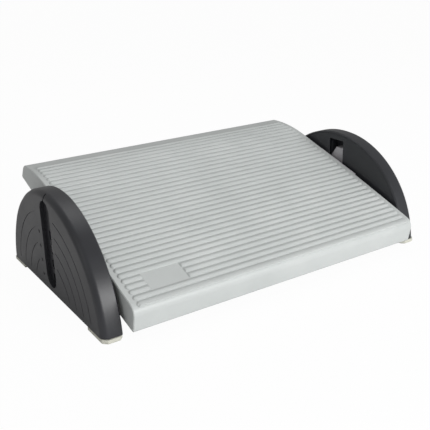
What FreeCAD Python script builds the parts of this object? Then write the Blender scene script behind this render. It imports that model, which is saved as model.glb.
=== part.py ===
import FreeCAD, Part
import math
import os
import Sketcher

# A tilting footrest for under a desk. A ribbed foot platform hangs between two
# upright side supports on a pivot pin at each side. Each pin runs in a block that
# is guided up and down inside its hollow support and clicks in at four heights.
# Millimetres. X runs across the footrest, -Y is the side of the person who sits
# at the desk, +Z is up. The origin is on the floor, midway between the pins.

SIZES = [
    ("platform_width", 450), ("platform_tilt", 16.8), ("pin_height", 63),
    ("pin_from_front", 171.3), ("pin_above_edge", 0.8),
    ("tread_depth", 348), ("tread_wall", 3), ("rib_wall", 2), ("rib_gap", 47), ("rib_inset", 5),
    ("front_rise", 32), ("front_lean", 3.5), ("crown_ahead", 86), ("crown_rise", 38.4),
    ("crown_radius", 5500), ("rear_lean", 6), ("rear_top_rise", 23), ("rear_radius", 225),
    ("belly_radius", 3800), ("front_round", 13), ("rear_round", 14), ("toe_round", 3),
    ("side_bevel", 1), ("ridge_pitch", 9.7), ("ridge_first", 10.4), ("ridge_last", 36),
    ("ridge_radius", 9), ("ridge_sunk", 7.3), ("ridge_half", 3.3), ("ridge_root", 0.6), ("ridge_inset", 8), ("bare_inset", 35),
    ("bare_width", 50), ("bare_first", 2), ("bare_rows", 3),
    ("support_gap", 5), ("support_thick", 26), ("support_radius", 148.5),
    ("centre_drop", 7.5), ("foot_thick", 5.5), ("shell_wall", 3),
    ("rim_round", 10), ("rim_inner_round", 1.6), ("cover_thick", 2.5), ("fit", 0.3),
    ("channel_half", 15.5), ("channel_deep", 6), ("channel_floor", 2.5),
    ("channel_low", 13), ("crest_gap", 10), ("channel_wall", 2.5),
    ("step_height", 20), ("step_count", 4), ("steps_above", 1),
    ("window_width", 14), ("window_rise", 13), ("window_bevel", 2.5),
    ("track_half", 11.5), ("track_deep", 1.5),
    ("groove_rim_gap", 28.5), ("groove_count", 4), ("groove_wide", 1.2),
    ("groove_deep", 0.6), ("groove_base", 14), ("groove_front", 24), ("groove_rear", 38),
    ("notch_half", 1.2), ("notch_deep", 5),
    ("rail_wall", 2.5), ("rail_gap", 5), ("slot_half", 15.5), ("slot_gap", 2), ("slot_sill", 1.5),
    ("web_near", 58), ("web_far", 98), ("shelf_low", 48), ("shelf_high", 88),
    ("snug", 0.05), ("screw_from_end", 44.5), ("screw_rise", 22), ("screw_head", 3.6),
    ("screw_shank", 1.6), ("screw_long", 13), ("head_deep", 1.5), ("boss_wall", 2.6), ("boss_half", 4),
    ("foot_long", 44), ("foot_ahead", 1.5), ("foot_edge", 1), ("tongue_long", 22), ("tongue_thick", 5),
    ("tongue_tall", 5), ("tongue_from_end", 12),
    ("block_half", 14.2), ("block_thick", 12.5), ("block_low", 14), ("block_tall", 53),
    ("block_slant_back", 9.7), ("block_slant_drop", 13.5), ("block_edge", 1.2),
    ("pin_radius", 8), ("pin_play", 0.08), ("pin_neck", 5.5), ("cap_radius", 10.5), ("cap_proud", 1.2), ("cap_skin", 1),
    ("clip_radius", 10.5), ("clip_thick", 1.5), ("clip_recess", 3),
    ("plate_half", 41), ("plate_thick", 1.6), ("plate_top", 36), ("plate_drop", 12),
    ("plate_round", 6), ("plate_screw", 30), ("plate_screw_rise", 15),
    ("ring_radius", 13),
]

doc = FreeCAD.newDocument("footrest")
sheet = doc.addObject("Spreadsheet::Sheet", "Sizes")
for row, (alias, value) in enumerate(SIZES, start=1):
    sheet.set("A%d" % row, alias)
    sheet.set("B%d" % row, str(value))
    sheet.setAlias("B%d" % row, alias)
doc.recompute()


def size(alias):
    return float(sheet.get(alias))


def cells(text):
    """Turn words such as <pin_height> into references to the sheet's cells."""
    return text.replace("<", "Sizes.").replace(">", "")


# Places shared by several pieces, as expressions of the sheet's cells
SHELL_IN = "(<platform_width>/2+<support_gap>)"
SHELL_OUT = "(" + SHELL_IN + "+<support_thick>)"
COVER_BACK = "(" + SHELL_IN + "+<cover_thick>)"
CHANNEL_AT = "(" + SHELL_OUT + "-<channel_deep>)"
HOUSING_AT = "(" + CHANNEL_AT + "-<channel_floor>)"
BLOCK_OUT = "(" + HOUSING_AT + "-<fit>)"
BLOCK_IN = "(" + BLOCK_OUT + "-<block_thick>)"
ARCH_CENTRE = "(0-<centre_drop>)"
CAVITY_RADIUS = "(<support_radius>-<shell_wall>)"
CAVITY_BASE = "(<foot_thick>+<shell_wall>)"
BEVEL_WHOLE = "(<rim_round>*(2-sqrt(2)))"
BEVEL_SMALL = "(<rim_round>*(sqrt(2)-1-tan(11.25 deg)))"
CROWN_BACK = "(<tread_depth>-<crown_ahead>)"
REAR_TOP_BACK = "(<tread_depth>-<rear_lean>)"
SCREW_BACK = "%d*(<support_radius>-<screw_from_end>)"
CHANNEL_TOP = "(<support_radius>-<centre_drop>-<crest_gap>)"
LOWEST_PIN = "(<pin_height>-(<step_count>-1-<steps_above>)*<step_height>)"


def value_of(holder, text):
    result = holder.evalExpression(cells(text))
    return float(getattr(result, "Value", result))


def new_body(label):
    body = doc.addObject("PartDesign::Body", label)
    body.Label = label
    return body


def plane_sketch(body, role, name, offset="0"):
    """A sketch on one of the body's origin planes, moved along its normal."""
    sketch = body.newObject("Sketcher::SketchObject", name)
    plane = [item for item in body.Origin.OriginFeatures if item.Role == role][0]
    sketch.AttachmentSupport = [(plane, "")]
    sketch.MapMode = "FlatFace"
    sketch.setExpression("AttachmentOffset.Base.z", cells(offset))
    return sketch


def bind(sketch, constraint, text):
    index = sketch.addConstraint(constraint)
    sketch.setExpression("Constraints[%d]" % index, cells(text))


def pin_point(sketch, geo, pos, across, up):
    """Hold a point of the sketch at a place given by two expressions."""
    where = (value_of(sketch, across), value_of(sketch, up))
    bind(sketch, Sketcher.Constraint("DistanceX", -1, 1, geo, pos, where[0]), across)
    bind(sketch, Sketcher.Constraint("DistanceY", -1, 1, geo, pos, where[1]), up)


def vector(sketch, point):
    return FreeCAD.Vector(value_of(sketch, point[0]), value_of(sketch, point[1]), 0)


def arc_between(start, end, radius):
    """The shorter arc from start to end, which bulges to the right of that line."""
    middle = (start + end) * 0.5
    along = (end - start).normalize()
    left = FreeCAD.Vector(-along.y, along.x, 0)
    rise = math.sqrt(radius ** 2 - (end - start).Length ** 2 / 4)
    centre = middle + left * rise
    circle = Part.Circle(centre, FreeCAD.Vector(0, 0, 1), radius)
    first = math.atan2(start.y - centre.y, start.x - centre.x)
    last = math.atan2(end.y - centre.y, end.x - centre.x)
    return Part.ArcOfCircle(circle, first, last)


def loop(sketch, corners, radii=None):
    """A closed loop, counter-clockwise; radii gives the arcs by their first corner."""
    radii = radii or {}
    first = sketch.GeometryCount
    count = len(corners)
    for index in range(count):
        start = vector(sketch, corners[index])
        end = vector(sketch, corners[(index + 1) % count])
        if index in radii:
            sketch.addGeometry(arc_between(start, end, value_of(sketch, radii[index])), False)
        else:
            sketch.addGeometry(Part.LineSegment(start, end), False)
    for index in range(count):
        after = first + (index + 1) % count
        sketch.addConstraint(Sketcher.Constraint("Coincident", first + index, 2, after, 1))
    for index, corner in enumerate(corners):
        pin_point(sketch, first + index, 1, corner[0], corner[1])
    for index, radius in radii.items():
        limit = Sketcher.Constraint("Radius", first + index, value_of(sketch, radius))
        bind(sketch, limit, radius)


def rectangle(sketch, left, low, right, high):
    loop(sketch, [(left, low), (right, low), (right, high), (left, high)])


def circle(sketch, across, up, radius):
    centre = vector(sketch, (across, up))
    geo = sketch.addGeometry(Part.Circle(centre, FreeCAD.Vector(0, 0, 1), value_of(sketch, radius)), False)
    pin_point(sketch, geo, 3, across, up)
    bind(sketch, Sketcher.Constraint("Radius", geo, value_of(sketch, radius)), radius)


def hexagon(sketch, across, up, radius):
    """A regular hexagon whose corners lie at radius from its centre."""
    corners = []
    for turn in range(6):
        right = "(%s+%s*cos(%d deg))" % (across, radius, 60 * turn)
        above = "(%s+%s*sin(%d deg))" % (up, radius, 60 * turn)
        corners.append((right, above))
    loop(sketch, corners)


def obround(sketch, half, low, high):
    """An upright slot with round ends, whose ends reach low and high."""
    low_centre = "(%s+%s)" % (low, half)
    high_centre = "(%s-%s)" % (high, half)
    radius = value_of(sketch, half)
    bottom = vector(sketch, ("0", low_centre))
    top = vector(sketch, ("0", high_centre))
    side = FreeCAD.Vector(radius, 0, 0)
    axis = FreeCAD.Vector(0, 0, 1)
    geo = sketch.GeometryCount
    sketch.addGeometry(Part.ArcOfCircle(Part.Circle(top, axis, radius), 0, math.pi), False)
    sketch.addGeometry(Part.LineSegment(top - side, bottom - side), False)
    sketch.addGeometry(Part.ArcOfCircle(Part.Circle(bottom, axis, radius), math.pi, 2 * math.pi), False)
    sketch.addGeometry(Part.LineSegment(bottom + side, top + side), False)
    for index in range(4):
        after = geo + (index + 1) % 4
        sketch.addConstraint(Sketcher.Constraint("Tangent", geo + index, 2, after, 1))
    bind(sketch, Sketcher.Constraint("Radius", geo, radius), half)
    pin_point(sketch, geo, 3, "0", high_centre)
    pin_point(sketch, geo + 2, 3, "0", low_centre)


def arch(sketch, radius, base):
    """The outline of a side support: an arch about the common centre on a flat base."""
    span = value_of(sketch, radius)
    centre = vector(sketch, ("0", ARCH_CENTRE))
    low = value_of(sketch, base)
    half = math.sqrt(span ** 2 - (low - centre.y) ** 2)
    turn = math.atan2(low - centre.y, half)
    axis = FreeCAD.Vector(0, 0, 1)
    geo = sketch.GeometryCount
    sketch.addGeometry(Part.ArcOfCircle(Part.Circle(centre, axis, span), turn, math.pi - turn), False)
    left = FreeCAD.Vector(-half, low, 0)
    right = FreeCAD.Vector(half, low, 0)
    sketch.addGeometry(Part.LineSegment(left, right), False)
    sketch.addConstraint(Sketcher.Constraint("Coincident", geo, 2, geo + 1, 1))
    sketch.addConstraint(Sketcher.Constraint("Coincident", geo + 1, 2, geo, 1))
    sketch.addConstraint(Sketcher.Constraint("Horizontal", geo + 1))
    bind(sketch, Sketcher.Constraint("Radius", geo, span), radius)
    pin_point(sketch, geo, 3, "0", ARCH_CENTRE)
    bind(sketch, Sketcher.Constraint("DistanceY", -1, 1, geo + 1, 1, low), base)


def ring_piece(sketch, radius, base, stop, side):
    """A thin piece of ring that rises from base to the upright line at stop."""
    centre = vector(sketch, ("0", ARCH_CENTRE))
    low = value_of(sketch, base) - centre.y
    near = value_of(sketch, stop)
    axis = FreeCAD.Vector(0, 0, 1)
    geo = sketch.GeometryCount
    edges = ["(%s+<groove_wide>/2)" % radius, "(%s-<groove_wide>/2)" % radius]
    ends = []
    for edge in edges:
        span = value_of(sketch, edge)
        foot = math.asin(low / span)
        tip = math.acos(near / span)
        turns = (foot, tip) if side > 0 else (math.pi - tip, math.pi - foot)
        ends.append([centre + FreeCAD.Vector(math.cos(turn) * span, math.sin(turn) * span, 0) for turn in turns])
        sketch.addGeometry(Part.ArcOfCircle(Part.Circle(centre, axis, span), *turns), False)
    for end in (0, 1):
        sketch.addGeometry(Part.LineSegment(ends[0][end], ends[1][end]), False)
    for index, edge in enumerate(edges):
        bind(sketch, Sketcher.Constraint("Radius", geo + index, value_of(sketch, edge)), edge)
        pin_point(sketch, geo + index, 3, "0", ARCH_CENTRE)
    for end in (1, 2):
        sketch.addConstraint(Sketcher.Constraint("Coincident", geo, end, geo + 1 + end, 1))
        sketch.addConstraint(Sketcher.Constraint("Coincident", geo + 1, end, geo + 1 + end, 2))
    flat, upright = (geo + 2, geo + 3) if side > 0 else (geo + 3, geo + 2)
    sketch.addConstraint(Sketcher.Constraint("Horizontal", flat))
    sketch.addConstraint(Sketcher.Constraint("Vertical", upright))
    bind(sketch, Sketcher.Constraint("DistanceY", -1, 1, flat, 1, low + centre.y), base)
    across = "(%d*%s)" % (side, stop)
    bind(sketch, Sketcher.Constraint("DistanceX", -1, 1, upright, 1, side * near), across)


def pad(body, sketch, length, reverse=False, both=False):
    feature = body.newObject("PartDesign::Pad", "Pad")
    feature.Profile = sketch
    feature.setExpression("Length", cells(length))
    feature.Reversed = reverse
    feature.Midplane = both
    doc.recompute()
    return feature


def pocket(body, sketch, length, reverse=False):
    """Cut away from the sketch against its normal, or along it when reversed."""
    before = body.Shape.Volume
    feature = body.newObject("PartDesign::Pocket", "Pocket")
    feature.Profile = sketch
    feature.setExpression("Length", cells(length))
    feature.Reversed = reverse
    doc.recompute()
    if not body.Shape.Volume < before:
        raise RuntimeError("a pocket in %s cuts nothing" % body.Label)
    return feature


def round_edges(body, radius, wanted, kind="PartDesign::Fillet"):
    """Round or bevel the edges of the body that the test picks."""
    base = body.Tip
    names = []
    for index, edge in enumerate(base.Shape.Edges, start=1):
        if wanted(edge):
            names.append("Edge%d" % index)
    feature = body.newObject(kind, "Rounding")
    feature.Base = (base, names)
    feature.setExpression("Size" if kind.endswith("Chamfer") else "Radius", cells(radius))
    doc.recompute()
    return feature


def bevel(body, length, wanted):
    return round_edges(body, length, wanted, "PartDesign::Chamfer")


def near(first, second):
    return abs(first - second) < 0.01


def lies_at_x(edge, place):
    box = edge.BoundBox
    return near(box.XMin, place) and near(box.XMax, place)


def runs_along_x(edge):
    box = edge.BoundBox
    return box.YLength < 0.01 and box.ZLength < 0.01


def is_arch(edge, radius):
    return isinstance(edge.Curve, Part.Circle) and near(edge.Curve.Radius, radius)


def make_outer_shell():
    """The hollow outer shell of the right support, open towards the platform."""
    body = new_body("right_outer_shell")
    blank = plane_sketch(body, "YZ_Plane", "outline", SHELL_IN)
    arch(blank, "<support_radius>", "<foot_thick>")
    pad(body, blank, "<support_thick>")
    outer = value_of(body, SHELL_OUT)
    inner = value_of(body, SHELL_IN)
    whole = size("support_radius")

    hollow = plane_sketch(body, "YZ_Plane", "hollow", SHELL_IN)
    arch(hollow, CAVITY_RADIUS, CAVITY_BASE)
    pocket(body, hollow, "<support_thick>-<shell_wall>", reverse=True)
    deepest = outer - size("shell_wall")
    bore = value_of(body, CAVITY_RADIUS)
    bevel(body, "<rim_round>-<shell_wall>",
          lambda edge: lies_at_x(edge, deepest) and is_arch(edge, bore))

    housing = plane_sketch(body, "YZ_Plane", "channel_housing", HOUSING_AT)
    rectangle(housing, "0-<channel_half>-<channel_wall>", "<channel_low>-<channel_wall>",
              "<channel_half>+<channel_wall>", CHANNEL_TOP + "+<channel_wall>")
    pad(body, housing, "<channel_deep>+<channel_floor>-<shell_wall>/2")

    # Two upright rails guide the sliding block fore and aft
    rails = plane_sketch(body, "YZ_Plane", "guide_rails", BLOCK_IN)
    for side in (-1, 1):
        edges = ["%d*(<block_half>+<fit>)" % side, "%d*(<block_half>+<fit>+<rail_wall>)" % side]
        left, right = edges if side > 0 else reversed(edges)
        rectangle(rails, left, CAVITY_BASE + "-1", right, CHANNEL_TOP + "-<rail_gap>")
    pad(body, rails, "<block_thick>+<fit>+<channel_floor>/2")

    # Webs behind the outer wall keep the tall hollow moulding stiff
    webs = plane_sketch(body, "YZ_Plane", "webs", COVER_BACK + "+<fit>")
    for side in (-1, 1):
        for place in ("<web_near>", "<web_far>"):
            near_edge = "(%d*%s)" % (side, place)
            far_edge = "(%d*(%s+<rib_wall>))" % (side, place)
            top = "(sqrt((<support_radius>-<shell_wall>/2)^2-(%s+<rib_wall>)^2)-<centre_drop>)" % place
            left, right = (near_edge, far_edge) if side > 0 else (far_edge, near_edge)
            rectangle(webs, left, CAVITY_BASE + "-1", right, top)
    pad(body, webs, "<support_thick>-<cover_thick>-<fit>-<shell_wall>/2")
    shelves = plane_sketch(body, "YZ_Plane", "shelves", COVER_BACK + "+<fit>")
    for side in (-1, 1):
        for place in ("<shelf_low>", "<shelf_high>"):
            reach = "(sqrt((<support_radius>-<shell_wall>/2)^2-(%s+<rib_wall>+<centre_drop>)^2))" % place
            start = "(%d*(<block_half>+<fit>+1))" % side
            end = "(%d*%s)" % (side, reach)
            left, right = (start, end) if side > 0 else (end, start)
            rectangle(shelves, left, place, right, "%s+<rib_wall>" % place)
    pad(body, shelves, "<support_thick>-<cover_thick>-<fit>-<shell_wall>/2")

    bosses = plane_sketch(body, "YZ_Plane", "screw_bosses", COVER_BACK)
    for side in (-1, 1):
        hexagon(bosses, SCREW_BACK % side, "<screw_rise>", "(<screw_shank>+<boss_wall>)")
    pad(body, bosses, "<support_thick>-<cover_thick>-<shell_wall>/2")

    # The rim is rounded over the finished inside, so that no web shows through it. Three
    # bevels that all touch a circle of the rim's radius make the round.
    bevel(body, BEVEL_WHOLE, lambda edge: lies_at_x(edge, outer) and is_arch(edge, whole))
    cut = value_of(body, BEVEL_WHOLE)
    bevel(body, BEVEL_SMALL, lambda edge: is_arch(edge, whole) and lies_at_x(edge, outer - cut)
          or is_arch(edge, whole - cut) and lies_at_x(edge, outer))
    bevel(body, "<rim_inner_round>", lambda edge: lies_at_x(edge, inner) and is_arch(edge, whole))

    cores = plane_sketch(body, "YZ_Plane", "screw_cores", COVER_BACK)
    for side in (-1, 1):
        hexagon(cores, SCREW_BACK % side, "<screw_rise>", "(<screw_shank>+<snug>)")
    pocket(body, cores, "<screw_long>", reverse=True)

    channel = plane_sketch(body, "YZ_Plane", "channel", SHELL_OUT)
    obround(channel, "<channel_half>", "<channel_low>", CHANNEL_TOP)
    pocket(body, channel, "<channel_deep>")

    # Four windows show at which height the pin stands
    windows = plane_sketch(body, "YZ_Plane", "windows", CHANNEL_AT)
    for step in range(int(size("step_count"))):
        middle = "(%s+%d*<step_height>)" % (LOWEST_PIN, step)
        wide = "(<window_width>/2)"
        tall = "(<window_rise>/2)"
        corners = []
        for across, up in ((1, -1), (1, 1), (-1, 1), (-1, -1)):
            near_corner = ("%d*%s" % (across, wide), "%s+%d*(%s-<window_bevel>)" % (middle, up, tall))
            far_corner = ("%d*(%s-<window_bevel>)" % (across, wide), "%s+%d*%s" % (middle, up, tall))
            corners += [far_corner, near_corner] if across * up < 0 else [near_corner, far_corner]
        loop(windows, corners)
    pocket(body, windows, "<channel_floor>*1.5")

    track = plane_sketch(body, "YZ_Plane", "cap_track", HOUSING_AT)
    rectangle(track, "0-<track_half>", LOWEST_PIN + "-<track_half>", "<track_half>",
              "%s+(<step_count>-1)*<step_height>+<track_half>" % LOWEST_PIN)
    pocket(body, track, "<track_deep>", reverse=True)

    grooves = plane_sketch(body, "YZ_Plane", "arc_grooves", SHELL_OUT)
    for index in range(int(size("groove_count"))):
        radius = "((<support_radius>-<groove_rim_gap>)*(%d+3)/(<groove_count>+2))" % index
        ring_piece(grooves, radius, "<groove_base>", "<groove_rear>", 1)
        ring_piece(grooves, radius, "<groove_base>", "<groove_front>", -1)
    pocket(body, grooves, "<groove_deep>")

    # A narrow notch joins the top of the channel to the crest of the rim
    notch = plane_sketch(body, "YZ_Plane", "crest_notch", SHELL_OUT)
    rectangle(notch, "0-<notch_half>", CHANNEL_TOP + "-2", "<notch_half>",
              "<support_radius>-<centre_drop>+1")
    pocket(body, notch, "<notch_deep>")

    tongues = plane_sketch(body, "XY_Plane", "tongue_slots", "<foot_thick>")
    for side in (-1, 1):
        tongue(tongues, side, "<snug>")
    pocket(body, tongues, "<shell_wall>*1.5", reverse=True)
    return body


def make_inner_cover():
    """The flat cover that closes the support; the pin passes through its slot."""
    body = new_body("right_inner_cover")
    blank = plane_sketch(body, "YZ_Plane", "outline", SHELL_IN)
    arch(blank, CAVITY_RADIUS + "-<fit>", CAVITY_BASE + "+<fit>")
    pad(body, blank, "<cover_thick>")
    slot = plane_sketch(body, "YZ_Plane", "pin_slot", SHELL_IN)
    rectangle(slot, "0-<slot_half>", CAVITY_BASE + "+<fit>+<slot_sill>", "<slot_half>",
              CHANNEL_TOP + "-<slot_gap>")
    pocket(body, slot, "<cover_thick>*2", reverse=True)
    heads = plane_sketch(body, "YZ_Plane", "head_recesses", SHELL_IN)
    holes = plane_sketch(body, "YZ_Plane", "screw_holes", SHELL_IN)
    for side in (-1, 1):
        hexagon(heads, SCREW_BACK % side, "<screw_rise>", "(<screw_head>+<fit>)")
        hexagon(holes, SCREW_BACK % side, "<screw_rise>", "(<screw_shank>+<snug>)")
    pocket(body, heads, "<head_deep>", reverse=True)
    pocket(body, holes, "<cover_thick>*2", reverse=True)
    return body


def six_sided(radius, centre, along):
    """A hexagonal bar that runs from centre to along, a vector parallel to X."""
    turns = [math.radians(60 * turn) for turn in range(7)]
    corners = [centre + FreeCAD.Vector(0, radius * math.cos(turn), radius * math.sin(turn)) for turn in turns]
    return Part.Face(Part.makePolygon(corners)).extrude(along)


def group_of_screws(label, places, seat, head_thick, facing):
    """Screws as separate solids of one node; facing is the side of X that a head looks to."""
    solids = []
    along = FreeCAD.Vector(-facing, 0, 0)
    for across, up in places:
        centre = FreeCAD.Vector(seat, across, up)
        head = six_sided(size("screw_head"), centre, along * -head_thick)
        shank = six_sided(size("screw_shank"), centre, along * (size("screw_long") - size("fit")))
        solids.append(head.fuse(shank))
    feature = doc.addObject("Part::Feature", label)
    feature.Label = label
    feature.Shape = Part.makeCompound(solids)
    feature.Placement = FreeCAD.Placement()
    return feature


def tongue(sketch, side, gap):
    """The tongue that holds a foot in the base of the support, or its slot with a gap."""
    middle = "(" + SHELL_IN + "+<support_thick>/2)"
    half = "(<tongue_thick>/2+%s)" % gap
    tip = "%d*(<support_radius>-<tongue_from_end>+%s)" % (side, gap)
    rear = "%d*(<support_radius>-<tongue_from_end>-<tongue_long>-%s)" % (side, gap)
    low, high = (rear, tip) if side > 0 else (tip, rear)
    rectangle(sketch, middle + "-" + half, low, middle + "+" + half, high)


def make_foot(label, side):
    """A soft foot under one end of the support, pegged into its base."""
    body = new_body(label)
    outline = plane_sketch(body, "XY_Plane", "outline")
    far = "(<support_radius>+<foot_ahead>)"
    rear = "%d*(%s-<foot_long>)" % (side, far)
    tip = "%d*%s" % (side, far)
    low, high = (rear, tip) if side > 0 else (tip, rear)
    rectangle(outline, SHELL_IN, low, SHELL_OUT, high)
    pad(body, outline, "<foot_thick>")
    end = side * (size("support_radius") + size("foot_ahead"))
    outer = value_of(body, SHELL_OUT)
    inner = value_of(body, SHELL_IN)

    def corner(edge, place):
        box = edge.BoundBox
        return near(box.ZLength, size("foot_thick")) and near(box.YMin, end) and near(box.XMin, place)
    bevel(body, BEVEL_WHOLE, lambda edge: corner(edge, outer))
    bevel(body, "<rim_inner_round>*3", lambda edge: corner(edge, inner))
    bevel(body, "<foot_edge>", lambda edge: near(edge.BoundBox.ZMax, 0))
    tongues = plane_sketch(body, "XY_Plane", "tongue", "<foot_thick>/2")
    tongue(tongues, side, "0")
    pad(body, tongues, "<foot_thick>/2+<tongue_tall>")
    return body


def make_pivot_block():
    """The block that slides up and down inside the support and carries the pin."""
    body = new_body("right_pivot_block")
    outline = plane_sketch(body, "YZ_Plane", "outline", BLOCK_IN)
    low = "<pin_height>-<block_low>"
    top = "<pin_height>+<block_tall>"
    half = "<block_half>"
    loop(outline, [("0-" + half, low), (half, low), (half, top + "-<block_slant_drop>"),
                   (half + "-<block_slant_back>", top), ("0-" + half, top)])
    pad(body, outline, "<block_thick>")
    inner = value_of(body, BLOCK_IN)
    crown = size("pin_height") + size("block_tall")
    bevel(body, "<block_edge>",
          lambda edge: lies_at_x(edge, inner) and edge.BoundBox.ZMax > crown - size("block_slant_drop") - 1)
    bore = plane_sketch(body, "YZ_Plane", "pin_bore", BLOCK_IN)
    circle(bore, "0", "<pin_height>", "<pin_radius>+<pin_play>")
    pocket(body, bore, "<block_thick>*2", reverse=True)
    recess = plane_sketch(body, "YZ_Plane", "clip_recess", BLOCK_OUT)
    hexagon(recess, "0", "<pin_height>", "((<clip_radius>+<fit>)*2/sqrt(3))")
    pocket(body, recess, "<clip_recess>")
    # Two deep pockets keep the wall of the moulding even
    hollows = plane_sketch(body, "YZ_Plane", "hollows", BLOCK_OUT)
    for step in (0, 1):
        floor = "<pin_height>+<clip_radius>+3+%d*14" % step
        rectangle(hollows, "3-" + half, floor, half + "-3", floor + "+11")
    pocket(body, hollows, "<block_thick>-3")
    return body


def tilted(feature):
    """Turn a piece that is drawn about the pin's axis to the platform's tilt."""
    feature.setExpression("Placement.Base.z", cells("<pin_height>"))
    feature.Placement.Rotation = FreeCAD.Rotation(FreeCAD.Vector(1, 0, 0), 1)
    feature.setExpression("Placement.Rotation.Angle", cells("<platform_tilt>"))


CLIP_AT = "(" + BLOCK_OUT + "-<clip_recess>+<snug>)"
PLATE_IN = "(<platform_width>/2)"
PLATE_OUT = "(<platform_width>/2+<plate_thick>)"


def make_hub_plate():
    """The plate on the platform's side with the pivot pin that it carries."""
    body = new_body("right_hub_plate")
    outline = plane_sketch(body, "YZ_Plane", "outline", PLATE_IN)
    lug = "(<pin_radius>+6)"
    loop(outline, [("0-" + lug, "0-<plate_drop>"), (lug, "0-<plate_drop>"), ("<plate_half>", "4"),
                   ("<plate_half>", "<plate_top>"), ("0-<plate_half>", "<plate_top>"),
                   ("0-<plate_half>", "4")])
    pad(body, outline, "<plate_thick>")
    bevel(body, "<plate_round>",
          lambda edge: runs_along_x(edge) and edge.BoundBox.ZMin < size("plate_top") / 2)
    pin = plane_sketch(body, "YZ_Plane", "pin", PLATE_IN)
    circle(pin, "0", "0", "<pin_radius>")
    pad(body, pin, BLOCK_OUT + "-<clip_recess>-" + PLATE_IN)
    neck = plane_sketch(body, "YZ_Plane", "neck", PLATE_OUT)
    hexagon(neck, "0", "0", "<pin_neck>")
    pad(body, neck, BLOCK_OUT + "+<cap_proud>-<cap_skin>-<snug>-" + PLATE_OUT)
    holes = plane_sketch(body, "YZ_Plane", "screw_holes", PLATE_OUT)
    for side in (-1, 1):
        hexagon(holes, "%d*<plate_screw>" % side, "<plate_screw_rise>", "(<screw_shank>+<snug>)")
    pocket(body, holes, "<plate_thick>*2")
    tilted(body)
    return body


def make_pin_cap():
    """The pale cap on the end of the pin, which shows through a window at each height."""
    body = new_body("right_pin_cap")
    start = CLIP_AT + "+<clip_thick>+<snug>"
    outline = plane_sketch(body, "YZ_Plane", "outline", start)
    hexagon(outline, "0", "0", "<cap_radius>")
    pad(body, outline, BLOCK_OUT + "+<cap_proud>-(" + start + ")")
    socket = plane_sketch(body, "YZ_Plane", "socket", start)
    hexagon(socket, "0", "0", "(<pin_neck>+<snug>)")
    pocket(body, socket, BLOCK_OUT + "+<cap_proud>-<cap_skin>-(" + start + ")", reverse=True)
    tilted(body)
    return body


def make_ring():
    """The six-sided rubber ring about the pin that gives the tilt its friction."""
    body = new_body("right_friction_ring")
    outline = plane_sketch(body, "YZ_Plane", "outline", PLATE_OUT + "+<fit>")
    hexagon(outline, "0", "<pin_height>", "<ring_radius>")
    circle(outline, "0", "<pin_height>", "<pin_radius>+<pin_play>")
    pad(body, outline, BLOCK_IN + "-<fit>-" + PLATE_OUT + "-<fit>")
    return body


def make_clip():
    """The spring plate pushed on the pin's six-sided neck, which keeps the pin in its block."""
    body = new_body("right_retaining_clip")
    outline = plane_sketch(body, "YZ_Plane", "outline", CLIP_AT)
    hexagon(outline, "0", "0", "<clip_radius>")
    hexagon(outline, "0", "0", "(<pin_neck>+<snug>)")
    pad(body, outline, "<clip_thick>")
    tilted(body)
    return body


def tread_frame(back, rise):
    """Expressions about the pin's axis for a place measured from the front edge."""
    return ("(%s-<pin_from_front>)" % back, "(%s-<pin_above_edge>)" % rise)


def tread_profile(sketch, inset):
    """The side view of the tread: an arched top, a slanted front and a rounded rear."""
    wall = inset
    corners = [
        tread_frame(wall, "0-" + wall if wall == "0" else "0-10"),
        tread_frame("(<tread_depth>-%s)" % wall, "0" if wall == "0" else "0-10"),
        tread_frame(REAR_TOP_BACK + "-" + wall, "(<rear_top_rise>-%s)" % wall),
        tread_frame(CROWN_BACK, "(<crown_rise>-%s)" % wall),
        tread_frame("(<front_lean>+%s)" % wall, "(<front_rise>-%s)" % wall),
    ]
    arcs = {2: "(<rear_radius>-%s)" % wall, 3: "(<crown_radius>-%s)" % wall}
    if wall == "0":
        arcs[0] = "<belly_radius>"
    loop(sketch, corners, arcs)


def profile_body(label, inset, width, rounds):
    body = new_body(label)
    sketch = plane_sketch(body, "YZ_Plane", "side_view")
    tread_profile(sketch, inset)
    pad(body, sketch, width, both=True)
    for radius, back, rise in rounds:
        place = FreeCAD.Vector(0, value_of(body, tread_frame(back, "0")[0]),
                               value_of(body, tread_frame("0", rise)[1]))

        def at_corner(edge):
            middle = edge.BoundBox.Center
            return runs_along_x(edge) and near(middle.y, place.y) and near(middle.z, place.z)
        round_edges(body, radius, at_corner)
    return body


def arc_centre(start, end, radius):
    """The centre of an arc that bulges up from start, the rear end, to end, the front one."""
    middle = (start + end) * 0.5
    along = (end - start).normalize()
    down = FreeCAD.Vector(-along.y, along.x, 0)
    return middle + down * math.sqrt(radius ** 2 - (end - start).Length ** 2 / 4)


def top_of_tread(back):
    """Height and slope of the arched top at a distance from the front edge."""
    crown = FreeCAD.Vector(value_of(sheet, CROWN_BACK), size("crown_rise"), 0)
    if back > crown.x:
        rear = FreeCAD.Vector(value_of(sheet, REAR_TOP_BACK), size("rear_top_rise"), 0)
        centre = arc_centre(rear, crown, size("rear_radius"))
        radius = size("rear_radius")
    else:
        front = FreeCAD.Vector(size("front_lean"), size("front_rise"), 0)
        centre = arc_centre(crown, front, size("crown_radius"))
        radius = size("crown_radius")
    turn = math.asin((back - centre.x) / radius)
    return centre.y + radius * math.cos(turn), -math.degrees(turn)


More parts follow.
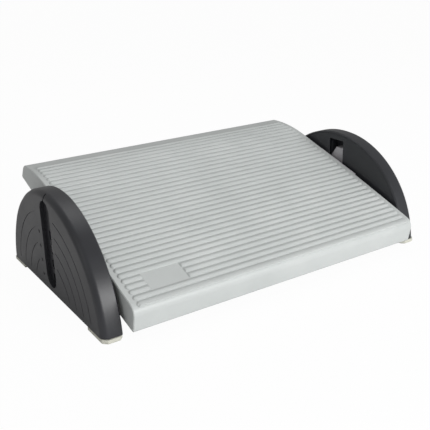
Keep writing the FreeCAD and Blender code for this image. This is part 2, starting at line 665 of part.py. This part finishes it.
def ridge(left, right):
    """One bar along X with a crowned top and sloping ends, its root sunk below z = 0."""
    radius = size("ridge_radius")
    sunk = size("ridge_sunk")
    root = size("ridge_root")
    bar = Part.makeCylinder(radius, right - left, FreeCAD.Vector(left, 0, -sunk), FreeCAD.Vector(1, 0, 0))
    slope = radius - sunk + root
    corners = [FreeCAD.Vector(left, 0, -root), FreeCAD.Vector(right, 0, -root),
               FreeCAD.Vector(right - slope, 0, slope - root), FreeCAD.Vector(left + slope, 0, slope - root)]
    side = Part.Face(Part.makePolygon(corners + corners[:1]))
    half = size("ridge_half")
    side.translate(FreeCAD.Vector(0, -half, 0))
    return bar.common(side.extrude(FreeCAD.Vector(0, 2 * half, 0)))


def make_ridges():
    """All ridges of the tread, broken where the bare field lies."""
    half = size("platform_width") / 2 - size("ridge_inset")
    bare_left = size("bare_inset") - size("platform_width") / 2
    bare = (bare_left, bare_left + size("bare_width"))
    count = int((size("tread_depth") - size("ridge_first") - size("ridge_last")) / size("ridge_pitch")) + 1
    rows = range(int(size("bare_first")), int(size("bare_first") + size("bare_rows")))
    bars = []
    for row in range(count):
        back = size("ridge_first") + row * size("ridge_pitch")
        rise, slope = top_of_tread(back)
        spans = [(-half, bare[0]), (bare[1], half)] if row in rows else [(-half, half)]
        for left, right in spans:
            bar = ridge(left, right)
            bar.rotate(FreeCAD.Vector(0, 0, 0), FreeCAD.Vector(1, 0, 0), slope)
            bar.translate(FreeCAD.Vector(0, back - size("pin_from_front"), rise - size("pin_above_edge")))
            bars.append(bar)
    feature = doc.addObject("Part::Feature", "tread_ridges")
    feature.Shape = Part.makeCompound(bars)
    feature.Placement = FreeCAD.Placement()
    return feature


def box(name, low, lengths):
    feature = doc.addObject("Part::Box", name)
    for prop, text in zip(("Length", "Width", "Height"), lengths):
        feature.setExpression(prop, cells(text))
    for prop, text in zip(("x", "y", "z"), low):
        feature.setExpression("Placement.Base." + prop, cells(text))
    return feature


def make_tread():
    """The one-piece foot platform: arched ridged top, skirts and a grid of ribs."""
    blank = profile_body("tread_blank", "0", "<platform_width>",
                         [("<front_round>", "<front_lean>", "<front_rise>"),
                          ("<rear_round>", REAR_TOP_BACK, "<rear_top_rise>"),
                          ("<toe_round>", "0", "0"), ("<toe_round>", "<tread_depth>", "0")])
    half = size("platform_width") / 2
    floor = 0 - size("pin_above_edge") + 1

    def on_side(edge):
        box_of = edge.BoundBox
        return near(box_of.XLength, 0) and near(abs(box_of.XMin), half) and box_of.ZMax > floor
    bevel(blank, "<side_bevel>", on_side)
    core = profile_body("tread_core", "<tread_wall>", "<platform_width>-2*<tread_wall>",
                        [("<front_round>-<tread_wall>", "(<front_lean>+<tread_wall>)",
                          "(<front_rise>-<tread_wall>)"),
                         ("<rear_round>-<tread_wall>", REAR_TOP_BACK + "-<tread_wall>",
                          "(<rear_top_rise>-<tread_wall>)")])
    inside = size("platform_width") - 2 * size("tread_wall")
    step = size("rib_gap") + size("rib_wall")
    ribs = []
    start = tread_frame("0", "<rib_inset>")
    across = int(inside / step / 2)
    for index in range(-across, across + 1):
        ribs.append(box("cross_rib", ("%d*(<rib_gap>+<rib_wall>)-<rib_wall>/2" % index, start[0], start[1]),
                        ("<rib_wall>", "<tread_depth>", "60")))
    for index in range(1, int(size("tread_depth") / step) + 1):
        back = "%d*(<rib_gap>+<rib_wall>)" % index
        ribs.append(box("long_rib", ("0-<platform_width>/2", tread_frame(back, "0")[0], start[1]),
                        ("<platform_width>", "<rib_wall>", "60")))
    # Bosses behind the side walls take the screws of the hub plates
    for side in (-1, 1):
        for place in (-1, 1):
            left = "(<platform_width>/2-<screw_long>)" if side > 0 else "(0-<platform_width>/2)"
            low = (left, "%d*<plate_screw>-<boss_half>" % place, "<plate_screw_rise>-<boss_half>")
            boss = box("screw_boss", low, ("<screw_long>", "2*<boss_half>", "2*<boss_half>"))
            ribs.append(boss)
    grid = doc.addObject("Part::MultiFuse", "rib_grid")
    grid.Shapes = ribs
    cavity = doc.addObject("Part::Cut", "cavity")
    cavity.Base = core
    cavity.Tool = grid
    hollow = doc.addObject("Part::Cut", "hollow_tread")
    hollow.Base = blank
    hollow.Tool = cavity
    cores = []
    for side in (-1, 1):
        for place in (-1, 1):
            hole = doc.addObject("Part::Prism", "screw_core")
            hole.Polygon = 6
            hole.setExpression("Circumradius", cells("<screw_shank>+<snug>"))
            hole.setExpression("Height", cells("<screw_long>"))
            hole.Placement.Rotation = FreeCAD.Rotation(FreeCAD.Vector(0, 1, 0), 90).multiply(
                FreeCAD.Rotation(FreeCAD.Vector(0, 0, 1), 30))
            left = "(<platform_width>/2-<screw_long>+1)" if side > 0 else "(0-<platform_width>/2-1)"
            hole.setExpression("Placement.Base.x", cells(left))
            hole.setExpression("Placement.Base.y", cells("%d*<plate_screw>" % place))
            hole.setExpression("Placement.Base.z", cells("<plate_screw_rise>"))
            cores.append(hole)
    drilled = doc.addObject("Part::MultiFuse", "screw_cores")
    drilled.Shapes = cores
    bored = doc.addObject("Part::Cut", "bored_tread")
    bored.Base = hollow
    bored.Tool = drilled
    tread = doc.addObject("Part::MultiFuse", "platform_tread")
    tread.Shapes = [bored, make_ridges()]
    tread.Label = "platform_tread"
    doc.recompute()
    tilted(tread)
    return tread


def mirrored(source, label):
    """The left-hand twin of a right-hand piece."""
    twin = doc.addObject("Part::Mirroring", label)
    twin.Label = label
    twin.Source = source
    twin.Normal = (1, 0, 0)
    twin.Base = (0, 0, 0)
    return twin


def main():
    right = [
        make_outer_shell(), make_inner_cover(),
        make_foot("right_front_foot", -1), make_foot("right_rear_foot", 1),
        make_pivot_block(), make_hub_plate(), make_pin_cap(),
        make_ring(), make_clip(),
    ]
    doc.recompute()
    places = [(value_of(sheet, SCREW_BACK % side), size("screw_rise")) for side in (-1, 1)]
    seat = value_of(sheet, SHELL_IN) + size("head_deep")
    right.append(group_of_screws("right_cover_screws", places, seat, size("head_deep") - size("snug"), -1))
    places = [(side * size("plate_screw"), size("plate_screw_rise")) for side in (-1, 1)]
    hub_screws = group_of_screws("right_hub_screws", places, value_of(sheet, PLATE_OUT),
                                 size("head_deep"), 1)
    tilted(hub_screws)
    right.append(hub_screws)
    pieces = list(right)
    for piece in right:
        pieces.append(mirrored(piece, piece.Label.replace("right_", "left_")))
    pieces.append(make_tread())
    doc.recompute()

    for item in doc.Objects:
        if "Invalid" in item.State or "Error" in item.State:
            raise RuntimeError("%s has failed: %s" % (item.Label, item.State))
    for piece in pieces:
        if piece.Shape.isNull() or not piece.Shape.isValid():
            raise RuntimeError("%s has no valid shape" % piece.Label)
    os.makedirs("parts", exist_ok=True)
    for piece in pieces:
        piece.Shape.exportStep("parts/%s.step" % piece.Label)
        print(piece.Label, len(piece.Shape.Solids), round(piece.Shape.Volume / 1000, 2), "cm3")


main()
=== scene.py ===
import math
import bmesh
import bpy
from mathutils import Matrix, Vector


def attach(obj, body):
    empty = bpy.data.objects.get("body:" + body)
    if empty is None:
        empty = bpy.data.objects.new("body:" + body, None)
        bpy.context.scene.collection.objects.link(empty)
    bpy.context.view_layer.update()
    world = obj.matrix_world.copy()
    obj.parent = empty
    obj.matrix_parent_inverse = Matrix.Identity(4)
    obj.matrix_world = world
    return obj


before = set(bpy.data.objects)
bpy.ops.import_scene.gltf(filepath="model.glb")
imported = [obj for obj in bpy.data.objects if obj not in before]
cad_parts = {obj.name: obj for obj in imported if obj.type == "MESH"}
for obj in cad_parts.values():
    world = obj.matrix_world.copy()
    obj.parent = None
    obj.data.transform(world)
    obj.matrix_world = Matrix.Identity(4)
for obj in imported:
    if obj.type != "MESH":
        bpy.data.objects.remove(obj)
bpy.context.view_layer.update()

# A tilting footrest: moulded tread, two arched supports, sliding blocks and soft feet.
# Lengths are in metres; MM turns a real size in millimetres into the scene's unit.
MM = 0.001


def linear(hex_colour):
    """An sRGB hex colour as the linear RGBA that the shaders take."""
    channels = []
    for start in (1, 3, 5):
        value = int(hex_colour[start:start + 2], 16) / 255
        channels.append(value / 12.92 if value <= 0.04045 else ((value + 0.055) / 1.055) ** 2.4)
    return (*channels, 1.0)


def add_node(tree, kind, settings=None, inputs=None):
    """Add one shader node, set its settings and fill or link its inputs."""
    node = tree.nodes.new(kind)
    for name, value in (settings or {}).items():
        setattr(node, name, value)
    for name, value in (inputs or {}).items():
        if isinstance(value, bpy.types.NodeSocket):
            tree.links.new(value, node.inputs[name])
        else:
            node.inputs[name].default_value = value
    return node


def new_material(name):
    """An empty material with one Principled shader and its output."""
    material = bpy.data.materials.new(name)
    material.use_nodes = True
    tree = material.node_tree
    tree.nodes.clear()
    shader = add_node(tree, "ShaderNodeBsdfPrincipled")
    add_node(tree, "ShaderNodeOutputMaterial", inputs={"Surface": shader.outputs["BSDF"]})
    return material, tree, shader


def ramp(tree, factor, stops):
    """A colour ramp over factor, from (place, hex colour) stops."""
    node = add_node(tree, "ShaderNodeValToRGB", inputs={"Fac": factor})
    elements = node.color_ramp.elements
    while len(elements) < len(stops):
        elements.new(0.5)
    for element, (place, colour) in zip(elements, stops):
        element.position = place
        element.color = linear(colour)
    return node.outputs["Color"]


# Flow marks of a moulding, how much its grain speaks beside them, and where the shades lie
CLOUD_SIZE = 70 * MM
GRAIN_SHARE = 0.22
SHADE_STOPS = (0.35, 0.62, 0.9)
RELIEF_STRENGTH = 0.6


def moulded_plastic(name, shades, roughness, grain_mm, grain_depth_mm, ior):
    """Injection-moulded plastic: a spark-eroded grain, cloudy flow marks and worn gloss."""
    material, tree, shader = new_material(name)
    where = add_node(tree, "ShaderNodeTexCoord").outputs["Object"]
    cloud = add_node(tree, "ShaderNodeTexNoise",
                     inputs={"Vector": where, "Scale": 1 / CLOUD_SIZE, "Detail": 3.0, "Roughness": 0.55})
    grain = add_node(tree, "ShaderNodeTexNoise",
                     inputs={"Vector": where, "Scale": 1 / (grain_mm * MM), "Detail": 2.0})
    mixed = add_node(tree, "ShaderNodeMath", {"operation": "MULTIPLY_ADD"},
                     {0: grain.outputs["Fac"], 1: GRAIN_SHARE, 2: cloud.outputs["Fac"]})
    colour = ramp(tree, mixed.outputs[0], list(zip(SHADE_STOPS, shades)))
    tree.links.new(colour, shader.inputs["Base Color"])
    gloss = add_node(tree, "ShaderNodeMapRange",
                     inputs={"Value": mixed.outputs[0], "From Min": SHADE_STOPS[0],
                             "From Max": SHADE_STOPS[-1],
                             "To Min": roughness - 0.05, "To Max": roughness + 0.06})
    tree.links.new(gloss.outputs["Result"], shader.inputs["Roughness"])
    relief = add_node(tree, "ShaderNodeBump",
                      inputs={"Strength": RELIEF_STRENGTH, "Distance": grain_depth_mm * MM,
                              "Height": grain.outputs["Fac"]})
    tree.links.new(relief.outputs["Normal"], shader.inputs["Normal"])
    shader.inputs["IOR"].default_value = ior
    return material


# ABS, injection-moulded in a finely eroded mould: an even pale grey, matt, with a soft broad
# sheen. The grain is 0.4 mm on the real one and is drawn at 1.1 mm so that it shows.
tread_abs = moulded_plastic("tread_light_grey_abs", ("#B9BDBC", "#BEC2C1", "#C4C7C6"), 0.45, 1.1, 0.05,
                            ior=1.53)
# Polypropylene, moulded and coloured anthracite: darker, a little violet, with a satin sheen
# that picks up long highlights on the rounded rims. Its leather-like grain is about 1 mm.
ANTHRACITE = ("#27282B", "#2B2C30", "#303135")
support_pp = moulded_plastic("support_anthracite_polypropylene", ANTHRACITE, 0.4, 1.0, 0.05, ior=1.49)
# The same plastic on the outer shells, where a dimple beside the channel marks each of the
# four heights, and one more lies at each end of the channel's floor. Each dimple's colour is
# darkened with painted shade, and its sheen turned down, for the shade inside the recess.
shell_pp_painted_dimple_shade = moulded_plastic("shell_anthracite_polypropylene_painted_dimple_shade", ANTHRACITE, 0.4, 1.0, 0.05, ior=1.49)
# Where the dimples lie, in millimetres behind the middle and above the floor, and their form.
# Only faces farther out than DIMPLED_FROM are marked: the outer face and the channel's floor.
LEVEL_MARKS = [(26, 23), (26, 43), (26, 63), (26, 83), (0, 122), (0, 17)]
DIMPLE_RADIUS = 3.2 * MM
DIMPLE_DEPTH = 0.9 * MM
DIMPLE_BOTTOM = 0.5
# How strongly painted shade darkens the colour inside a dimple
DIMPLE_PAINTED_SHADE = 0.8
PLAIN_SPECULAR = 0.5
DIMPLED_FROM = 249 * MM


def add_dimples_with_painted_shade(material, marks, radius, depth, least_out):
    """Sink small round dimples into the outward faces, with painted shade darkening their colour and
    sheen.
    """
    tree = material.node_tree
    shader = next(node for node in tree.nodes if node.type == "BSDF_PRINCIPLED")
    plain_colour = shader.inputs["Base Color"].links[0].from_socket
    plain_normal = shader.inputs["Normal"].links[0].from_socket
    apart = add_node(tree, "ShaderNodeSeparateXYZ",
                     inputs={"Vector": add_node(tree, "ShaderNodeTexCoord").outputs["Object"]})
    out = add_node(tree, "ShaderNodeMath", {"operation": "ABSOLUTE"}, {0: apart.outputs["X"]})
    outer = add_node(tree, "ShaderNodeMath", {"operation": "GREATER_THAN"},
                     {0: out.outputs[0], 1: least_out})
    flat = add_node(tree, "ShaderNodeCombineXYZ",
                    inputs={"Y": apart.outputs["Y"], "Z": apart.outputs["Z"]}).outputs[0]
    nearest = None
    for back, rise in marks:
        gap = add_node(tree, "ShaderNodeVectorMath", {"operation": "DISTANCE"},
                       {0: flat, 1: (0, back * MM, rise * MM)}).outputs["Value"]
        if nearest is None:
            nearest = gap
        else:
            nearest = add_node(tree, "ShaderNodeMath", {"operation": "MINIMUM"},
                               {0: nearest, 1: gap}).outputs[0]
    bowl = add_node(tree, "ShaderNodeMapRange", {"interpolation_type": "SMOOTHSTEP"},
                    {"Value": nearest, "From Min": radius * DIMPLE_BOTTOM, "From Max": radius,
                     "To Min": 1.0, "To Max": 0.0})
    hole = add_node(tree, "ShaderNodeMath", {"operation": "MULTIPLY"},
                    {0: bowl.outputs["Result"], 1: outer.outputs[0]}).outputs[0]
    # Painted shade: the colour and the sheen are darkened inside each dimple
    shade = add_node(tree, "ShaderNodeMath", {"operation": "MULTIPLY_ADD"},
                     {0: hole, 1: -DIMPLE_PAINTED_SHADE, 2: 1.0})
    dark = add_node(tree, "ShaderNodeVectorMath", {"operation": "SCALE"},
                    {0: plain_colour, "Scale": shade.outputs[0]})
    tree.links.new(dark.outputs["Vector"], shader.inputs["Base Color"])
    sheen = add_node(tree, "ShaderNodeMath", {"operation": "MULTIPLY"},
                     {0: shade.outputs[0], 1: PLAIN_SPECULAR})
    tree.links.new(sheen.outputs[0], shader.inputs["Specular IOR Level"])
    sunk = add_node(tree, "ShaderNodeBump", {"invert": True},
                    {"Strength": 1.0, "Distance": depth, "Height": hole, "Normal": plain_normal})
    tree.links.new(sunk.outputs["Normal"], shader.inputs["Normal"])


add_dimples_with_painted_shade(shell_pp_painted_dimple_shade, LEVEL_MARKS, DIMPLE_RADIUS, DIMPLE_DEPTH, DIMPLED_FROM)

# Acetal, the slippery plastic of sliding blocks: milky pale grey with a waxy gloss.
slider_acetal = moulded_plastic("slider_pale_acetal", ("#B4B2B6", "#BDBBBF", "#C5C3C6"), 0.34, 1.6, 0.02,
                                ior=1.48)
# Thermoplastic rubber, moulded: beige-grey, dull, with a powdery roughness.
foot_tpe = moulded_plastic("foot_beige_soft_rubber", ("#BDBDB2", "#C6C6BB", "#CFCFC4"), 0.72, 1.4, 0.06,
                           ior=1.5)
# Nitrile rubber of the brake rings: nearly black and matt.
ring_rubber = moulded_plastic("ring_black_rubber", ("#161617", "#1C1C1D", "#242425"), 0.65, 1.2, 0.05,
                              ior=1.52)


def turned_metal(name, shades, roughness, brush_mm):
    """Steel with fine marks that run round or along it, under a thin plating."""
    material, tree, shader = new_material(name)
    where = add_node(tree, "ShaderNodeTexCoord").outputs["Object"]
    brush = add_node(tree, "ShaderNodeTexNoise",
                     inputs={"Vector": where, "Scale": 1 / (brush_mm * MM), "Detail": 4.0})
    colour = ramp(tree, brush.outputs["Fac"], [(0.3, shades[0]), (0.7, shades[1])])
    tree.links.new(colour, shader.inputs["Base Color"])
    gloss = add_node(tree, "ShaderNodeMapRange",
                     inputs={"Value": brush.outputs["Fac"], "To Min": roughness - 0.07,
                             "To Max": roughness + 0.1})
    tree.links.new(gloss.outputs["Result"], shader.inputs["Roughness"])
    shader.inputs["Metallic"].default_value = 1.0
    return material


# Spring steel, blanked and blued: dark, with a faint straw tone. Marks are about 0.8 mm.
clip_steel = turned_metal("clip_spring_steel", ("#6F6C68", "#8B8985"), 0.33, 0.8)
# Zinc plate on steel screws: bright, slightly blue, with a soft crystalline mottle of 1 mm.
screw_zinc = turned_metal("screw_zinc_plate", ("#A9AEB4", "#C4C8CC"), 0.3, 1.0)

# The pin's end cap is the same acetal without pigment, so it is almost white.
cap_acetal = moulded_plastic("cap_natural_acetal", ("#EFEFEE", "#F4F4F3", "#F8F8F7"), 0.3, 1.6, 0.02,
                             ior=1.48)

FINISHES = {
    "platform_tread": tread_abs, "outer_shell": shell_pp_painted_dimple_shade, "inner_cover": support_pp,
    "front_foot": foot_tpe, "rear_foot": foot_tpe, "pivot_block": slider_acetal,
    "hub_plate": slider_acetal, "pin_cap": cap_acetal, "friction_ring": ring_rubber,
    "retaining_clip": clip_steel,
    "cover_screws": screw_zinc, "hub_screws": screw_zinc,
}


# How far the edges are rounded: the usual width, and where a piece has its own
USUAL_EDGE = 0.2 * MM
EDGE_ROUNDS = {"tread": 0.5 * MM, "outer_shell": 0.15 * MM, "inner_cover": 0.4 * MM,
               "front_foot": 2.0 * MM, "rear_foot": 2.0 * MM, "pivot_block": 0.5 * MM}


def finish_of(node_name):
    """The finish of a node, whichever side it belongs to."""
    for side in ("left_", "right_"):
        node_name = node_name.removeprefix(side)
    return FINISHES[node_name]


SHARP_TURN = math.radians(32)
FLAT_TURN = math.radians(0.5)
WELD_REACH = 0.001 * MM


def soften(piece, width):
    """Round a moulding's edges a little and shade its round faces smoothly."""
    weld = piece.modifiers.new("weld", "WELD")
    weld.merge_threshold = WELD_REACH
    facets = piece.modifiers.new("join_flat_facets", "DECIMATE")
    facets.decimate_type = "DISSOLVE"
    facets.angle_limit = FLAT_TURN
    edges = piece.modifiers.new("edge_rounding", "BEVEL")
    edges.width = width
    edges.segments = 2
    edges.limit_method = "ANGLE"
    edges.angle_limit = SHARP_TURN
    flats = piece.modifiers.new("flat_faces_stay_flat", "WEIGHTED_NORMAL")
    flats.mode = "FACE_AREA"
    flats.weight = 100
    flats.keep_sharp = True
    piece.data.shade_smooth()
    piece.data.set_sharp_from_angle(angle=SHARP_TURN)


def dress_frame():
    """Give every carried-over solid its real finish and soft edges."""
    for name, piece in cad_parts.items():
        piece.data.materials.clear()
        piece.data.materials.append(finish_of(name))
        soften(piece, EDGE_ROUNDS.get(name.split("_", 1)[1], USUAL_EDGE))


dress_frame()

# The tread's side view as the solid has it, in its own frame: its front bottom edge is the
# zero of back and rise, and the pin's axis lies at PIN
PLATFORM_TILT = math.radians(16.8)
PIN_HEIGHT = 63 * MM
PIN = Vector((171.3, 0.8)) * MM
HALF_WIDTH = 225 * MM
FRONT_EDGE = Vector((3.5, 32)) * MM
CROWN = Vector((262, 38.4)) * MM
REAR_EDGE = Vector((342, 23)) * MM
CROWN_RADIUS = 5500 * MM
REAR_RADIUS = 225 * MM
NOSE_RADIUS = 13 * MM
# The beads across the tread: rounded bars whose ends run down in a half circle
BEAD_FIRST = 10.4 * MM
BEAD_PITCH = 9.7 * MM
BEAD_COUNT = 32
BEAD_HALF = 3.8 * MM
BEAD_RISE = 2.2 * MM
BEAD_ROOT = 0.4 * MM
BEAD_INSET = 7 * MM
BEAD_SIDES = 12
BEAD_END_STEPS = 7
BEAD_TIP_SHARE = 0.04
BEAD_SHARP_TURN = math.radians(60)
# The rows that stop at the bare field, and that field's sides
BARE_ROWS = (2, 3, 4)
BARE_LEFT = -191 * MM
BARE_RIGHT = -139 * MM


def arc_centre(rear, front, radius):
    """The centre below an arc that bulges up between two points of the side view."""
    along = (front - rear).normalized()
    down = Vector((-along.y, along.x))
    return (rear + front) / 2 + down * math.sqrt(radius ** 2 - (front - rear).length_squared / 4)


def top_of_tread(back):
    """Rise and slope of the tread's surface at a distance behind its front edge."""
    if back > CROWN.x:
        centre, radius = arc_centre(REAR_EDGE, CROWN, REAR_RADIUS), REAR_RADIUS
    else:
        centre, radius = arc_centre(CROWN, FRONT_EDGE, CROWN_RADIUS), CROWN_RADIUS
        face = FRONT_EDGE.normalized()
        start = Vector((face.y, -face.x)) * NOSE_RADIUS
        reach = start - centre
        along = face.dot(reach)
        rest = reach.length_squared - (radius - NOSE_RADIUS) ** 2
        nose = start + face * (math.sqrt(along ** 2 - rest) - along)
        if back < (nose + (nose - centre).normalized() * NOSE_RADIUS).x:
            centre, radius = nose, NOSE_RADIUS
    turn = math.asin((back - centre.x) / radius)
    return centre.y + radius * math.cos(turn), -turn


def bead_section(share):
    """Points of a bead's round section, its width and height brought down to a share."""
    radius = (BEAD_HALF ** 2 + BEAD_RISE ** 2) / (2 * BEAD_RISE)
    widest = math.asin(BEAD_HALF / radius)
    points = [(-BEAD_HALF * share, -BEAD_ROOT)]
    for side in range(BEAD_SIDES + 1):
        turn = widest * (2 * side / BEAD_SIDES - 1)
        height = radius * math.cos(turn) - radius + BEAD_RISE
        points.append((radius * math.sin(turn) * share, height * share))
    points.append((BEAD_HALF * share, -BEAD_ROOT))
    return points


def bead_stations(left, right):
    """Places along a bead with the share of its full section that it has there."""
    ends = []
    for step in range(BEAD_END_STEPS + 1):
        turn = math.pi / 2 * step / BEAD_END_STEPS
        ends.append((BEAD_HALF * (1 - math.cos(turn)), max(math.sin(turn), BEAD_TIP_SHARE)))
    stations = [(left + inward, share) for inward, share in ends]
    stations += [(right - inward, share) for inward, share in reversed(ends)]
    return stations


def add_beads():
    """All beads of the tread as one moulded skin that rides on the platform."""
    work = bmesh.new()
    to_world = Matrix.Translation((0, 0, PIN_HEIGHT)) @ Matrix.Rotation(PLATFORM_TILT, 4, "X")
    reach = HALF_WIDTH - BEAD_INSET
    for row in range(BEAD_COUNT):
        back = BEAD_FIRST + row * BEAD_PITCH
        rise, slope = top_of_tread(back)
        seat = Matrix.Translation((0, back - PIN.x, rise - PIN.y)) @ Matrix.Rotation(slope, 4, "X")
        spans = [(-reach, BARE_LEFT), (BARE_RIGHT, reach)] if row in BARE_ROWS else [(-reach, reach)]
        for left, right in spans:
            rings = []
            for place, share in bead_stations(left, right):
                rings.append([work.verts.new(to_world @ seat @ Vector((place, across, up)))
                              for across, up in bead_section(share)])
            for ring, after in zip(rings, rings[1:]):
                for side in range(len(ring) - 1):
                    work.faces.new((ring[side], after[side], after[side + 1], ring[side + 1]))
                work.faces.new((ring[-1], after[-1], after[0], ring[0]))
            work.faces.new(rings[0])
            work.faces.new(reversed(rings[-1]))
    bmesh.ops.recalc_face_normals(work, faces=work.faces)
    mesh = bpy.data.meshes.new("tread_beads")
    work.to_mesh(mesh)
    work.free()
    mesh.shade_smooth()
    mesh.set_sharp_from_angle(angle=BEAD_SHARP_TURN)
    mesh.materials.append(tread_abs)
    beads = bpy.data.objects.new("tread_beads", mesh)
    bpy.context.collection.objects.link(beads)
    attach(beads, "platform")


add_beads()

# The camera of the photograph, fitted to it: turned to the left, looking down, slightly rolled
PHOTO_PIXELS = 430
CAMERA_TURN = math.radians(-33.445)
CAMERA_DOWN = math.radians(20.993)
CAMERA_ROLL = math.radians(-1.184)
CAMERA_FOCAL_PIXELS = 700.85
CAMERA_DISTANCE = 1009.87 * MM
CAMERA_SHIFT = (-2.76 * MM, -24.25 * MM)
AIM_HEIGHT = 80 * MM
SENSOR = 36.0
CAMERA_REACH = 30


def add_camera():
    """The camera at its fitted place, with level, roll and focal length of the photograph."""
    back = Vector((math.sin(CAMERA_TURN) * math.cos(CAMERA_DOWN),
                   -math.cos(CAMERA_TURN) * math.cos(CAMERA_DOWN), math.sin(CAMERA_DOWN)))
    level = (-back).cross(Vector((0, 0, 1))).normalized()
    upright = level.cross(-back)
    right = level * math.cos(CAMERA_ROLL) + upright * math.sin(CAMERA_ROLL)
    up = upright * math.cos(CAMERA_ROLL) - level * math.sin(CAMERA_ROLL)
    place = Vector((0, 0, AIM_HEIGHT)) + back * CAMERA_DISTANCE
    place += level * CAMERA_SHIFT[0] + upright * CAMERA_SHIFT[1]
    data = bpy.data.cameras.new("camera")
    data.sensor_width = SENSOR
    data.lens = CAMERA_FOCAL_PIXELS * SENSOR / PHOTO_PIXELS
    data.clip_end = CAMERA_REACH
    camera = bpy.data.objects.new("camera", data)
    camera.matrix_world = Matrix.Translation(place) @ Matrix((right, up, back)).transposed().to_4x4()
    bpy.context.collection.objects.link(camera)
    bpy.context.scene.camera = camera


FLOOR_SIZE = 12
FLOOR_WHITE = 0.965
FILL_STRENGTH = 0.4


def white_behind(tree, shader_output, share):
    """Blend a shader with plain white where the camera looks at it, also through clear pieces."""
    path = add_node(tree, "ShaderNodeLightPath")
    seen = add_node(tree, "ShaderNodeMath", {"operation": "MAXIMUM"},
                    {0: path.outputs["Is Camera Ray"], 1: path.outputs["Is Transmission Ray"]})
    part = add_node(tree, "ShaderNodeMath", {"operation": "MULTIPLY"}, {0: seen.outputs[0], 1: share})
    white = add_node(tree, "ShaderNodeEmission", inputs={"Color": (1, 1, 1, 1), "Strength": 1.0})
    return add_node(tree, "ShaderNodeMixShader",
                    inputs={"Fac": part.outputs[0], 1: shader_output, 2: white.outputs[0]}).outputs[0]


def add_floor():
    """A plain white floor that keeps a soft shadow of the footrest."""
    bpy.ops.mesh.primitive_plane_add(size=FLOOR_SIZE, location=(0, 0, 0))
    floor = bpy.context.object
    floor.name = "studio_floor"
    material = bpy.data.materials.new("studio_white_floor")
    material.use_nodes = True
    tree = material.node_tree
    tree.nodes.clear()
    paint = add_node(tree, "ShaderNodeBsdfDiffuse", inputs={"Color": linear("#F4F4F4")})
    shown = white_behind(tree, paint.outputs[0], FLOOR_WHITE)
    add_node(tree, "ShaderNodeOutputMaterial", inputs={"Surface": shown})
    floor.data.materials.append(material)


def add_world():
    """Soft even light from all round, plain white where the camera sees it."""
    world = bpy.data.worlds.new("studio")
    bpy.context.scene.world = world
    world.use_nodes = True
    tree = world.node_tree
    tree.nodes.clear()
    fill = add_node(tree, "ShaderNodeBackground",
                    inputs={"Color": linear("#F7F6F5"), "Strength": FILL_STRENGTH})
    shown = white_behind(tree, fill.outputs[0], 1.0)
    add_node(tree, "ShaderNodeOutputWorld", inputs={"Surface": shown})


def add_softbox(name, place, aim, width, height, watts):
    """A white rectangular studio light that faces the aim."""
    data = bpy.data.lights.new(name, "AREA")
    data.shape = "RECTANGLE"
    data.size = width
    data.size_y = height
    data.energy = watts
    lamp = bpy.data.objects.new(name, data)
    lamp.location = place
    lamp.rotation_euler = (Vector(aim) - Vector(place)).to_track_quat("-Z", "Y").to_euler()
    bpy.context.collection.objects.link(lamp)


add_camera()
add_floor()
add_world()
# The softboxes aim at the footrest's middle
CENTRE = (0, 0, 70 * MM)
add_softbox("front_softbox", (0.3, -1.9, 0.6), CENTRE, 1.5, 0.4, 30)
add_softbox("top_softbox", (0.1, 0.5, 1.6), CENTRE, 1.0, 0.8, 5)
add_softbox("left_softbox", (-1.8, -0.2, 0.9), CENTRE, 0.4, 0.8, 1.2)

bpy.context.scene.view_settings.view_transform = "Standard"
